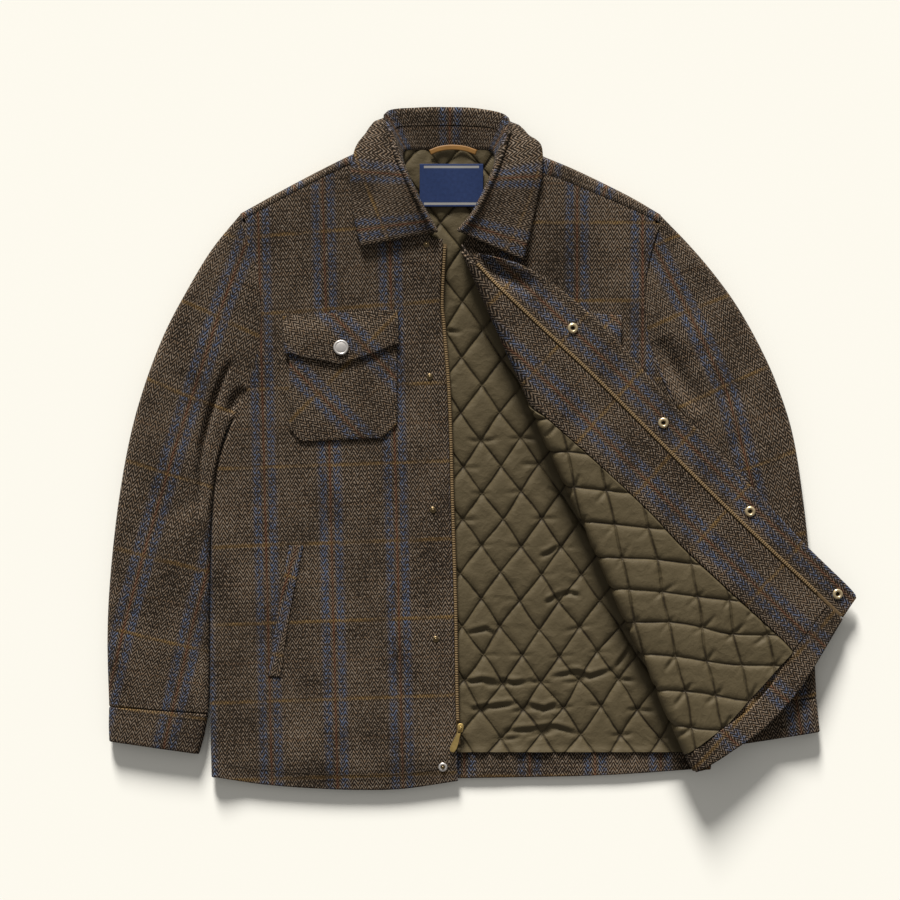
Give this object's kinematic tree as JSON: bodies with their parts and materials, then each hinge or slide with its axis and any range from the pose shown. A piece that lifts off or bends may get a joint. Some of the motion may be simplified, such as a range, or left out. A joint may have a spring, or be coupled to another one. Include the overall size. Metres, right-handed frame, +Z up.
{
  "type": "wool jacket",
  "caption": "Checked wool shirt jacket lying flat, left front folded open over a diamond-quilted lining, with shirt collar, flap chest pocket, front zip and snap placket.",
  "frame": {"origin": "a point on the flat underside of the back, at the middle of its width and 389 mm above its hem", "axes": "+X across the jacket to the wearer's left, +Y from the hem to the collar, +Z up from the surface that it lies on"},
  "size_m": [0.8711, 0.7966, 0.0364],
  "materials": {
    "wool": "checked herringbone wool, matt",
    "satin": "quilted satin, soft sheen",
    "zip_tape": "woven tape, matt",
    "brass": "polished",
    "silver": "satin",
    "leather": "smooth",
    "label": "woven, matt"
  },
  "bodies": {
    "jacket": {"back": "wool", "collar_fall": "wool", "collar_stand": "wool", "cuff_left": "wool", "cuff_right": "wool", "facing_left": "wool", "hanger_loop": "leather", "hem_back": "wool", "hem_left": "wool", "label": "label", "left_front": "wool", "lining_back": "satin", "lining_left": "satin", "placket_left": "wool", "pocket_flap_left": "wool", "pocket_flap_right": "wool", "pocket_right": "wool", "pocket_snap": "silver", "right_front": "wool", "sleeve_left": "wool", "sleeve_right": "wool", "snap_socket_1": "brass", "snap_socket_2": "brass", "snap_socket_3": "brass", "snap_socket_4": "brass", "snap_stud_1": "brass", "snap_stud_2": "brass", "snap_stud_3": "brass", "snap_stud_4": "brass", "snap_stud_5": "brass", "welt_right": "wool", "yoke_left": "wool", "yoke_right": "wool", "zip_chain_left": "brass", "zip_chain_right": "brass", "zip_slider": "brass", "zip_tape_left": "zip_tape", "zip_tape_right": "zip_tape"},
    "pull_tab": {"zip_pull": "brass"}
  },
  "joints": [
    {"name": "pull_hinge", "type": "hinge", "parent": "jacket", "child": "pull_tab", "pos_m": [0.0006, -0.3264, 0.0155], "axis": [-0.9397, 0.342, 0], "range_deg": [0, 165]}
  ]
}
